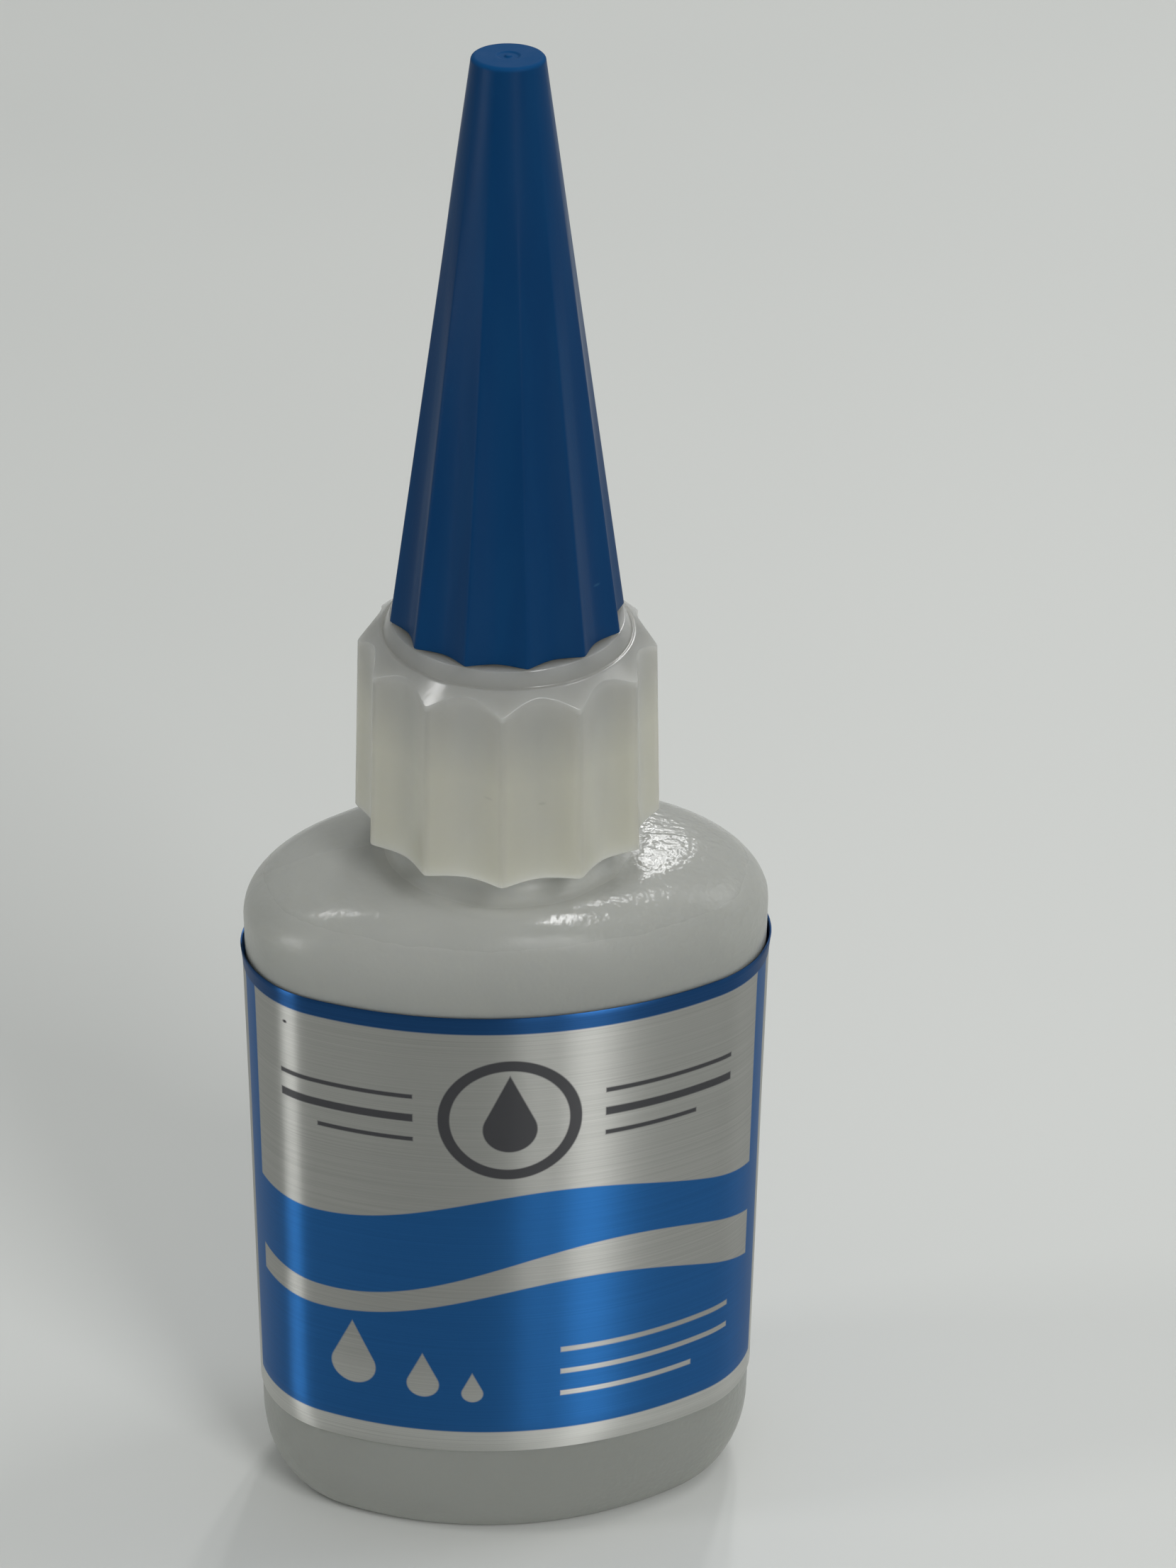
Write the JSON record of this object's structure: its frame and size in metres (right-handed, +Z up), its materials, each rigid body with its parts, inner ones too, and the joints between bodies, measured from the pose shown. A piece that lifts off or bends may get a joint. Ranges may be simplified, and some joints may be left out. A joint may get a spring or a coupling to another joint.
{
  "type": "adhesive bottle",
  "caption": "Small upright oval squeeze bottle for liquid adhesive, with a foil wrap label, a fluted screw-on nozzle top and a tall fluted cone cap.",
  "frame": {"origin": "middle of the bottle's base, on the surface that it stands on", "axes": "+Z up along the neck and nozzle, +X along the bottle's width, -Y towards the front of the label"},
  "size_m": [0.0328, 0.019, 0.0989],
  "materials": {
    "bottle_plastic": "natural translucent polyethylene, satin",
    "label_foil": "brushed foil, printed blue",
    "adhesive": "clear liquid",
    "top_plastic": "natural translucent polyethylene, satin",
    "cap_plastic": "blue moulded polyethylene, satin"
  },
  "bodies": {
    "bottle": {"bottle": "bottle_plastic", "label": "label_foil", "adhesive_fill": "adhesive"},
    "dispensing_top": {"dispensing_top": "top_plastic"},
    "cap": {"cap": "cap_plastic"}
  },
  "joints": [
    {"name": "top_lift", "type": "slide", "parent": "bottle", "child": "dispensing_top", "axis": [0, 0, 1], "range_m": [0, 0.016]},
    {"name": "cap_lift", "type": "slide", "parent": "dispensing_top", "child": "cap", "axis": [0, 0, 1], "range_m": [0, 0.04]}
  ]
}
